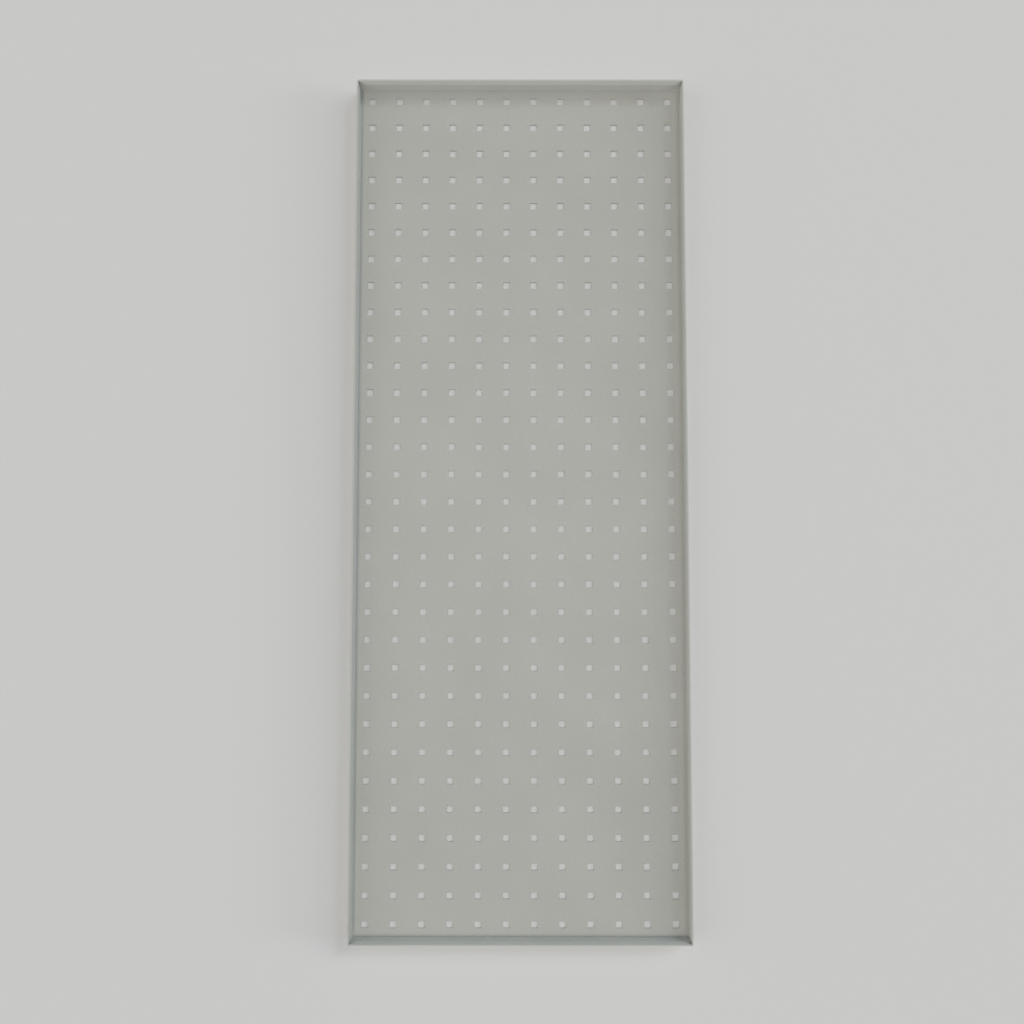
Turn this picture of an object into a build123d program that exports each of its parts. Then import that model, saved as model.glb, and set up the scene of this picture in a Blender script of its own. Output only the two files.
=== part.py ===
from build123d import *
from math import cos, radians, tan
import os

# Perforated steel panel: one sheet, punched with a grid of square holes and folded up
# into a shallow tray. It lies on its face, so the flanges and their hems stand up.
# X runs across the panel, Y along it, Z up. The origin is the middle of the underside.
# All sizes are in millimetres.

# ---- driving dimensions -------------------------------------------------------------
pitch = 38.0           # hole spacing, the same both ways
hole_side = 9.2        # square hole
columns = 12           # holes across the width
rows = 31              # holes along the length
edge_margin = 19.0     # outermost hole centres to the outside of a flange
sheet = 1.0            # steel thickness
flange_height = 28.5   # underside of the face to the top of the rim
bend_inside = 2.0      # inside radius of the fold between face and flange
corner_outside = 3.0   # outside radius of the closed corners, seen from above
hem_depth = 10.0       # top of the rim to the free edge of the hem
hem_gap = 0.2          # air between flange and hem, just under the rim
hem_lean = 8.0         # degrees that the hem stands away from the flange, going down
rim_flat = 0.2         # flat left on top between the two halves of the rounded rim

# ---- sizes that follow --------------------------------------------------------------
width = (columns - 1) * pitch + 2 * edge_margin
length = (rows - 1) * pitch + 2 * edge_margin
bend_outside = bend_inside + sheet
rim_width = 2 * sheet + hem_gap
rim_radius = (rim_width - rim_flat) / 2
shoulder = flange_height - rim_radius
hem_foot = flange_height - hem_depth
slot_roof = flange_height - sheet
cut_through = sheet      # how far a cutting tool runs past the faces it cuts


def plan(inset):
    """Outline of the panel seen from above, moved in from the outside by inset."""
    radius = corner_outside - inset
    outline = Rectangle(width - 2 * inset, length - 2 * inset)
    return fillet(outline.vertices(), radius) if radius > 0 else outline


def column(inset, foot, top):
    """Upright block of the plan, between two heights."""
    return Pos(0, 0, foot) * extrude(plan(inset), top - foot)


def edges_at(shape, height):
    """The edges of a shape that lie level at one height."""
    return shape.edges().filter_by_position(Axis.Z, height, height)


def folded_tray():
    """Face and the single part of the flanges, with a round fold where they meet."""
    outside = column(0, 0, hem_foot)
    outside = fillet(edges_at(outside, 0), bend_outside)
    inside = column(sheet, sheet, hem_foot + cut_through)
    inside = fillet(edges_at(inside, sheet), bend_inside)
    return outside - inside


def hem_front(height):
    """How far inside the outline the front of a hem lies, at one height."""
    bulge = rim_radius / cos(radians(hem_lean)) - rim_radius
    return rim_width + bulge + (shoulder - height) * tan(radians(hem_lean))


def hem_back(height):
    """How far inside the outline the hidden side of a hem lies, at one height."""
    return hem_front(height) - sheet / cos(radians(hem_lean))


def mouth(half):
    """Section of the space inside the hems: leaning sides that round over at the rim."""
    middle = half - rim_width + rim_radius
    top = flange_height + cut_through
    over = CenterArc((middle, shoulder), rim_radius, 90, 90 - hem_lean)
    side = Polyline((0, hem_foot), (half - hem_front(hem_foot), hem_foot), over @ 1)
    above = Polyline(over @ 0, (middle, top), (0, top))
    outline = side + over + above
    return make_face(outline + mirror(outline, Plane.YZ))


def between_backs(half):
    """Section of the space between the hidden sides of two facing hems."""
    low = half - hem_back(hem_foot)
    high = half - hem_back(slot_roof)
    corners = (-low, hem_foot), (low, hem_foot), (high, slot_roof), (-high, slot_roof)
    return make_face(Polyline(*corners, close=True))


def both_ways(section):
    """Solid with one kind of section across the panel and along it, mitred in the corners."""
    across = extrude(Plane.XZ * section(width / 2), length, both=True)
    along = extrude(Plane.YZ * section(length / 2), width, both=True)
    return across & along


def corner_notches():
    """Wedges that cut the ends of each hem back at 45 degrees below the rim."""
    half_x = width / 2 - sheet
    half_y = length / 2 - sheet
    band = hem_front(hem_foot) - sheet + cut_through
    drop = slot_roof - hem_foot + cut_through
    tip = hem_front(slot_roof) - sheet
    slope = Polyline((0, 0), (0, -drop), (-tip - drop, -drop), (-tip, 0), close=True)
    across = make_face(Plane.XZ * slope)
    along = make_face(Plane.YZ * slope)
    notches = []
    for side_x in (1, -1):
        for side_y in (1, -1):
            for wedge, push in ((across, (0, -1, 0)), (along, (-1, 0, 0))):
                solid = extrude(wedge, band, dir=push)
                if side_x < 0:
                    solid = mirror(solid, Plane.YZ)
                if side_y < 0:
                    solid = mirror(solid, Plane.XZ)
                notches.append(Pos(side_x * half_x, side_y * half_y, slot_roof) * solid)
    return notches


def hemmed_rim():
    """Top of the flanges: the sheet folded over inwards and down, ends cut at 45 degrees."""
    block = column(0, hem_foot, flange_height)
    block = fillet(edges_at(block, flange_height), rim_radius)
    slot = column(sheet, hem_foot, slot_roof) - both_ways(between_backs)
    return block - both_ways(mouth) - slot - corner_notches()


def hole_grid():
    """Square punches, one for each hole, that run through the face."""
    punches = GridLocations(pitch, pitch, columns, rows) * Rectangle(hole_side, hole_side)
    return Pos(0, 0, -cut_through) * extrude(Sketch() + punches, sheet + 2 * cut_through)


panel = folded_tray() + hemmed_rim() - hole_grid()

os.makedirs("parts", exist_ok=True)
export_step(panel, "parts/perforated_panel.step")
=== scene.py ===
import math

import bmesh
import bpy
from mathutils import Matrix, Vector


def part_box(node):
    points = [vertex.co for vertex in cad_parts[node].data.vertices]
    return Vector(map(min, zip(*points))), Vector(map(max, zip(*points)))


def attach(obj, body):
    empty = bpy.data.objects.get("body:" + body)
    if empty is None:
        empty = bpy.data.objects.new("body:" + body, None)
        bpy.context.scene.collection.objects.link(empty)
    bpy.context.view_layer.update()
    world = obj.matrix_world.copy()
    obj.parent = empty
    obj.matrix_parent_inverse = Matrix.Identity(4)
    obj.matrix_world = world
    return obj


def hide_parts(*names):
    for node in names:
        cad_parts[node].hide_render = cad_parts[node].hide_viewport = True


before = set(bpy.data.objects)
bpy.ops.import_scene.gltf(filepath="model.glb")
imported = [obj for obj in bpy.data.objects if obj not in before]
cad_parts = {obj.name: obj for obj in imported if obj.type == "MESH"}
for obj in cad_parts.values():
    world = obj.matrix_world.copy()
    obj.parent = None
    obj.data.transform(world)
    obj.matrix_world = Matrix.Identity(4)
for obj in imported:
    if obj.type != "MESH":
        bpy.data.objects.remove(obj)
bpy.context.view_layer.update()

# Punched and folded steel panel, seen from above as it lies on its face. All sizes are in
# metres, in the frame of the CAD part: X across, Y along, Z up, underside at zero.

NODE = "perforated_panel"
low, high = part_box(NODE)
HALF_WIDTH = (high.x - low.x) / 2
HALF_LENGTH = (high.y - low.y) / 2
HEIGHT = high.z

PITCH = 0.038            # hole spacing
HOLE = 0.0092            # side of a square hole
SHEET = 0.0010           # steel thickness
BEND = 0.002             # inside radius of the fold between face and flange
CORNER = 0.003           # outside radius of the closed corners, seen from above
HEM_DEPTH = 0.010        # top of the rim to the free edge of the hem
HEM_GAP = 0.0002         # air between flange and hem under the rim
HEM_LEAN = 8.0           # degrees that the open hem stands off from the flange
HOLE_CORNER = 0.0006     # radius in the corners of a punched hole
ROLL = 0.00028           # rounding of punched and sheared edges under the paint

COLUMNS = round(2 * HALF_WIDTH / PITCH)
ROWS = round(2 * HALF_LENGTH / PITCH)
RIM = 2 * SHEET + HEM_GAP
BEND_OUTSIDE = BEND + SHEET
FOLD_LEVEL = HEIGHT - RIM / 2        # where the rounded rim turns into flat sheet
HEM_FOOT = HEIGHT - HEM_DEPTH
LEAN = math.radians(HEM_LEAN)
# where the rim runs over into the leaning front of the hem
EDGE_INSET = RIM / 2 * (1 + math.cos(LEAN))
EDGE_LEVEL = FOLD_LEVEL + RIM / 2 * math.sin(LEAN)

ARC_STEPS = 4            # straight pieces in a corner of the outline or of a hole
EDGE_STEPS = 3           # straight pieces in a rounded edge
BEND_STEPS = 8           # straight pieces in the fold between face and flange
FOLD_STEPS = 12          # straight pieces in the half circle of the rim
SAME_POINT = 1e-6        # points nearer than this are joined
NO_LENGTH = 1e-7         # edges shorter than this are removed
CREASE = 40              # degrees between two faces from which their edge is sharp


def arc(centre, radius, start, end, steps):
    """Points along a circular arc, both ends included, angles in degrees."""
    angles = [math.radians(start + (end - start) * i / steps) for i in range(steps + 1)]
    return [(centre[0] + radius * math.cos(a), centre[1] + radius * math.sin(a)) for a in angles]


# ---- mesh of the folded sheet -------------------------------------------------------

def stops(half, count):
    """Places along a side where one hole's square of sheet ends and the next begins."""
    return [-half + PITCH * i for i in range(1, count)]


STOPS_X = stops(HALF_WIDTH, COLUMNS)
STOPS_Y = stops(HALF_LENGTH, ROWS)


def outline(inset):
    """Outline of the panel moved in by inset: four runs of points, one for each side, in turn.

    Each run starts with the last point of one corner and ends with the first of the next, and
    each is followed by the points inside that next corner."""
    radius = max(CORNER - inset, 0.0)
    middle = max(CORNER, inset)
    x = HALF_WIDTH - middle
    y = HALF_LENGTH - middle
    edge_x = HALF_WIDTH - inset
    edge_y = HALF_LENGTH - inset
    sides = [
        [(-x, -edge_y)] + [(s, -edge_y) for s in STOPS_X] + [(x, -edge_y)],
        [(edge_x, -y)] + [(edge_x, s) for s in STOPS_Y] + [(edge_x, y)],
        [(x, edge_y)] + [(-s, edge_y) for s in STOPS_X] + [(-x, edge_y)],
        [(-edge_x, y)] + [(-edge_x, -s) for s in STOPS_Y] + [(-edge_x, -y)],
    ]
    corners = [
        arc((x, -y), radius, -90, 0, ARC_STEPS),
        arc((x, y), radius, 0, 90, ARC_STEPS),
        arc((-x, y), radius, 90, 180, ARC_STEPS),
        arc((-x, -y), radius, 180, 270, ARC_STEPS),
    ]
    return sides, [c[1:-1] for c in corners]


class Skin:
    """Collects the points and faces of one closed mesh."""

    def __init__(self):
        self.mesh = bmesh.new()

    def row(self, places):
        return [self.mesh.verts.new(p) for p in places]

    def face(self, corners):
        self.mesh.faces.new(corners)

    def strip(self, first, second, closed=False):
        """Band of four-sided faces between two rows of points."""
        last = len(first) if closed else len(first) - 1
        for i in range(last):
            j = (i + 1) % len(first)
            self.face([first[i], first[j], second[j], second[i]])

    def finish(self, name):
        """Joins what meets, and turns every face outwards."""
        bmesh.ops.remove_doubles(self.mesh, verts=self.mesh.verts, dist=SAME_POINT)
        bmesh.ops.dissolve_degenerate(self.mesh, edges=self.mesh.edges, dist=NO_LENGTH)
        bmesh.ops.recalc_face_normals(self.mesh, faces=self.mesh.faces)
        data = bpy.data.meshes.new(name)
        self.mesh.to_mesh(data)
        self.mesh.free()
        return data


def loop_at(skin, inset, height):
    sides, corners = outline(inset)
    places = []
    for side, corner in zip(sides, corners):
        places += side + corner
    return skin.row([(x, y, height) for x, y in places])


def sweep(skin, profile):
    """Carries a section, given as inset and height, all the way round the panel."""
    loops = [loop_at(skin, inset, height) for inset, height in profile]
    for first, second in zip(loops, loops[1:]):
        skin.strip(first, second, closed=True)


def outer_profile():
    """From the underside, round the bend, up the flange and over the rim."""
    bend = arc((BEND_OUTSIDE, BEND_OUTSIDE), BEND_OUTSIDE, 270, 180, BEND_STEPS)
    rim = arc((RIM / 2, FOLD_LEVEL), RIM / 2, 180, HEM_LEAN, FOLD_STEPS)
    return bend + rim


def inner_profile():
    """From the slot inside the hem, down the flange and round the bend to the face."""
    slot = arc((SHEET + HEM_GAP / 2, FOLD_LEVEL), HEM_GAP / 2, 0, 180, EDGE_STEPS)
    bend = arc((BEND_OUTSIDE, BEND_OUTSIDE), BEND, 180, 270, BEND_STEPS)
    return slot + bend


def hem_front(height):
    """How far inside the outline the front of a hem lies, at one height."""
    return RIM / 2 * (1 + 1 / math.cos(LEAN)) + (FOLD_LEVEL - height) * math.tan(LEAN)


def hem_profile():
    """Down the front of the hem, round its free edge and up its back."""
    level = HEM_FOOT + ROLL
    turn = ROLL / math.cos(LEAN)
    front = (hem_front(level) - turn, level)
    back = (hem_front(level) - SHEET / math.cos(LEAN) + turn, level)
    free_edge = arc(front, ROLL, HEM_LEAN, -90, EDGE_STEPS)
    free_edge += arc(back, ROLL, -90, HEM_LEAN - 180, EDGE_STEPS)
    return [(EDGE_INSET, EDGE_LEVEL)] + free_edge + [(SHEET + HEM_GAP, FOLD_LEVEL)]


def hem_row(side, inset, height):
    """One row of points along a side of the hem, its ends cut back at 45 degrees."""
    run = [Vector(point) for point in outline(inset)[0][side]]
    rim = outline(EDGE_INSET)[0][side]
    along = (run[1] - run[0]).normalized()
    cut = max(FOLD_LEVEL - height, 0.0)
    run[0] += along * ((Vector(rim[0]) - run[0]).dot(along) + cut)
    run[-1] += along * ((Vector(rim[-1]) - run[-1]).dot(along) - cut)
    return [(point.x, point.y, height) for point in run]


def hems(skin):
    """Four strips of sheet folded down inside the flanges."""
    for side in range(4):
        rows = [skin.row(hem_row(side, inset, height)) for inset, height in hem_profile()]
        for first, second in zip(rows, rows[1:]):
            skin.strip(first, second)
        for end in (0, -1):
            skin.face([row[end] for row in rows])


def corner_roofs(skin):
    """Underside of the rim in the four corners, between the ends of the hems."""
    levels = [(outline(EDGE_INSET), EDGE_LEVEL), (outline(SHEET + HEM_GAP), FOLD_LEVEL)]
    for side in range(4):
        rows = []
        for (runs, corners), height in levels:
            places = [runs[side][-1]] + corners[side] + [runs[(side + 1) % 4][0]]
            rows.append(skin.row([(x, y, height) for x, y in places]))
        skin.strip(*rows)


def hole_outline(out):
    """Square hole with rounded corners, grown by out: four corners in turn."""
    middle = HOLE / 2 - HOLE_CORNER
    radius = HOLE_CORNER + out
    quarters = [((1, 1), 0), ((-1, 1), 90), ((-1, -1), 180), ((1, -1), 270)]
    return [
        arc((sx * middle, sy * middle), radius, start, start + 90, ARC_STEPS)
        for (sx, sy), start in quarters
    ]


def hole_profile():
    """Section of a punched edge: how far it lies outside the hole, and its height."""
    top = arc((ROLL, SHEET - ROLL), ROLL, 90, 180, EDGE_STEPS)
    bottom = arc((ROLL, ROLL), ROLL, 180, 270, EDGE_STEPS)
    return top + bottom


def hole(skin, centre, corners):
    """One hole and the square of sheet round it, on both faces."""
    cx, cy = centre
    rings = []
    for out, height in hole_profile():
        quarters = [
            skin.row([(cx + x, cy + y, height) for x, y in quarter])
            for quarter in hole_outline(out)
        ]
        rings.append(quarters)
    for first, second in zip(rings, rings[1:]):
        skin.strip(sum(first, []), sum(second, []), closed=True)
    half = ARC_STEPS // 2
    for ring, height in ((rings[0], SHEET), (rings[-1], 0.0)):
        outer = skin.row([(x, y, height) for x, y in corners])
        for i in range(4):
            j = (i + 1) % 4
            skin.face([outer[i], outer[j]] + ring[j][half::-1] + ring[i][:half - 1:-1])


def face(skin):
    """The flat of the panel: one square of sheet for each hole."""
    xs = [BEND_OUTSIDE - HALF_WIDTH] + STOPS_X + [HALF_WIDTH - BEND_OUTSIDE]
    ys = [BEND_OUTSIDE - HALF_LENGTH] + STOPS_Y + [HALF_LENGTH - BEND_OUTSIDE]
    for column in range(COLUMNS):
        for row in range(ROWS):
            centre = (PITCH * (column + 0.5) - HALF_WIDTH, PITCH * (row + 0.5) - HALF_LENGTH)
            left, right = xs[column], xs[column + 1]
            near, far = ys[row], ys[row + 1]
            hole(skin, centre, [(right, far), (left, far), (left, near), (right, near)])


def folded_sheet():
    skin = Skin()
    sweep(skin, outer_profile())
    sweep(skin, inner_profile())
    hems(skin)
    corner_roofs(skin)
    face(skin)
    data = skin.finish("folded_sheet")
    data.shade_smooth()
    data.set_sharp_from_angle(angle=math.radians(CREASE))
    panel = bpy.data.objects.new("folded_sheet", data)
    bpy.context.scene.collection.objects.link(panel)
    weights = panel.modifiers.new("flat faces stay flat", "WEIGHTED_NORMAL")
    weights.keep_sharp = True
    weights.weight = 100
    return panel


# ---- paint ---------------------------------------------------------------------------

TONE_DRIFT = 9.0         # patches of tone a hand wide, as counts per metre
MOTTLE = 400.0           # grains of the coat, 2.5 mm across and finer
PEEL = 700.0             # orange peel, about 1.5 mm from crest to crest
PEEL_DEPTH = 0.0002      # metres from crest to hollow at full strength
PEEL_STRENGTH = 0.5
MOTTLE_SHARE = 0.45      # how much of the tone is mottle, the rest being drift
DARK_TONE = (0.398, 0.405, 0.375, 1)
LIGHT_TONE = (0.432, 0.437, 0.407, 1)
SATIN = (0.58, 0.72)     # roughness, from the smoothest places to the dullest


def painted_steel():
    """Light warm grey powder coat: satin, with a faint orange peel and mottled tone."""
    material = bpy.data.materials.new("painted_steel")
    material.use_nodes = True
    tree = material.node_tree
    shader = tree.nodes["Principled BSDF"]
    place = tree.nodes.new("ShaderNodeTexCoord")

    def noise(scale, detail):
        node = tree.nodes.new("ShaderNodeTexNoise")
        node.inputs["Scale"].default_value = scale
        node.inputs["Detail"].default_value = detail
        tree.links.new(place.outputs["Object"], node.inputs["Vector"])
        return node.outputs["Fac"]

    drift = noise(TONE_DRIFT, 3.0)
    mottle = noise(MOTTLE, 4.0)
    both = tree.nodes.new("ShaderNodeMix")
    both.inputs["Factor"].default_value = MOTTLE_SHARE
    tree.links.new(drift, both.inputs["A"])
    tree.links.new(mottle, both.inputs["B"])
    tone = tree.nodes.new("ShaderNodeValToRGB")
    tone.color_ramp.elements[0].position = 0.35
    tone.color_ramp.elements[0].color = DARK_TONE
    tone.color_ramp.elements[1].position = 0.65
    tone.color_ramp.elements[1].color = LIGHT_TONE
    tree.links.new(both.outputs["Result"], tone.inputs["Fac"])
    tree.links.new(tone.outputs["Color"], shader.inputs["Base Color"])

    dull = tree.nodes.new("ShaderNodeMapRange")
    dull.inputs["From Min"].default_value = 0.3
    dull.inputs["From Max"].default_value = 0.7
    dull.inputs["To Min"].default_value, dull.inputs["To Max"].default_value = SATIN
    tree.links.new(mottle, dull.inputs["Value"])
    tree.links.new(dull.outputs["Result"], shader.inputs["Roughness"])

    peel = tree.nodes.new("ShaderNodeBump")
    peel.inputs["Strength"].default_value = PEEL_STRENGTH
    peel.inputs["Distance"].default_value = PEEL_DEPTH
    tree.links.new(noise(PEEL, 2.0), peel.inputs["Height"])
    tree.links.new(peel.outputs["Normal"], shader.inputs["Normal"])
    return material


# ---- floor, light and camera ---------------------------------------------------------

WHITE = (1.0, 1.0, 1.0)
COOL = (0.90, 0.99, 1.11)
WARM = (1.10, 1.02, 0.88)
EVEN_LIGHT = 0.2
BACKDROP = (0.6, 0.6, 0.6, 1)
FLOOR_DROP = 0.0010      # set below the face so that a shadow line shows round each hole
FLOOR_HALF = 30.0


def floor():
    data = bpy.data.meshes.new("floor")
    corners = [(-1, -1), (1, -1), (1, 1), (-1, 1)]
    places = [(x * FLOOR_HALF, y * FLOOR_HALF, -FLOOR_DROP) for x, y in corners]
    data.from_pydata(places, [], [(0, 1, 2, 3)])
    ground = bpy.data.objects.new("floor", data)
    bpy.context.scene.collection.objects.link(ground)
    material = bpy.data.materials.new("floor")
    material.use_nodes = True
    shader = material.node_tree.nodes["Principled BSDF"]
    shader.inputs["Base Color"].default_value = (0.66, 0.66, 0.66, 1)
    shader.inputs["Roughness"].default_value = 0.9
    data.materials.append(material)


def aim(light, source):
    """Turns a lamp so that it shines from source towards the middle of the panel."""
    light.rotation_euler = source.to_track_quat("Z", "Y").to_euler()


def far_light(name, bearing, rise, strength, spread, colour):
    """Light from far off: bearing from +X towards +Y, rise above the floor, both in degrees."""
    data = bpy.data.lights.new(name, "SUN")
    data.energy = math.pi * strength
    data.angle = math.radians(spread)
    data.color = colour
    light = bpy.data.objects.new(name, data)
    turn = math.radians(bearing)
    lift = math.radians(rise)
    level = math.cos(lift)
    aim(light, Vector((math.cos(turn) * level, math.sin(turn) * level, math.sin(lift))))
    bpy.context.scene.collection.objects.link(light)
    return light


def studio_world():
    """Dim even light from all round, which the camera sees as a plain pale backdrop."""
    world = bpy.data.worlds.new("studio")
    world.use_nodes = True
    tree = world.node_tree
    light = tree.nodes["Background"]
    light.inputs["Color"].default_value = (1, 1, 1, 1)
    light.inputs["Strength"].default_value = EVEN_LIGHT
    backdrop = tree.nodes.new("ShaderNodeBackground")
    backdrop.inputs["Color"].default_value = BACKDROP
    path = tree.nodes.new("ShaderNodeLightPath")
    seen = path.outputs["Is Camera Ray"]
    for also in ("Is Glossy Ray", "Is Transmission Ray"):
        either = tree.nodes.new("ShaderNodeMath")
        either.operation = "MAXIMUM"
        tree.links.new(seen, either.inputs[0])
        tree.links.new(path.outputs[also], either.inputs[1])
        seen = either.outputs[0]
    mix = tree.nodes.new("ShaderNodeMixShader")
    tree.links.new(seen, mix.inputs[0])
    tree.links.new(light.outputs[0], mix.inputs[1])
    tree.links.new(backdrop.outputs[0], mix.inputs[2])
    tree.links.new(mix.outputs[0], tree.nodes["World Output"].inputs["Surface"])
    bpy.context.scene.world = world


def lights(panel):
    studio_world()
    far_light("overhead", 0, 82, 0.11, 14, COOL)
    far_light("front", 225, 82, 0.24, 14, WARM)
    far_light("key", 45, 42, 0.15, 20, COOL)
    far_light("right", 22, 27, 0.13, 20, WARM)
    far_light("left", 180, 35, 0.18, 60, WHITE)
    far_light("low_right", 0, 13, 0.23, 15, COOL)
    # these three light the panel but not the floor, where they would cast long bands
    skims = bpy.data.collections.new("lit by the skimming lamps")
    skims.objects.link(panel)
    for lamp in (
        far_light("low_far", 90, 4, 0.26, 8, COOL),
        far_light("low_left", 180, 4, 0.26, 8, WHITE),
        far_light("low_near", 270, 4, 0.45, 8, WHITE),
    ):
        lamp.light_linking.receiver_collection = skims


def camera():
    data = bpy.data.cameras.new("camera")
    data.lens = 35.0
    data.sensor_width = 36.0
    eye = bpy.data.objects.new("camera", data)
    eye.location = (-0.0112, -0.11015, 1.3719 + SHEET)
    eye.rotation_euler = (math.radians(3.983), 0.0, math.radians(0.0245))
    bpy.context.scene.collection.objects.link(eye)
    bpy.context.scene.camera = eye


panel = folded_sheet()
panel.data.materials.append(painted_steel())
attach(panel, "root")
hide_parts(NODE)

floor()
lights(panel)
camera()
bpy.context.scene.view_settings.view_transform = "Standard"
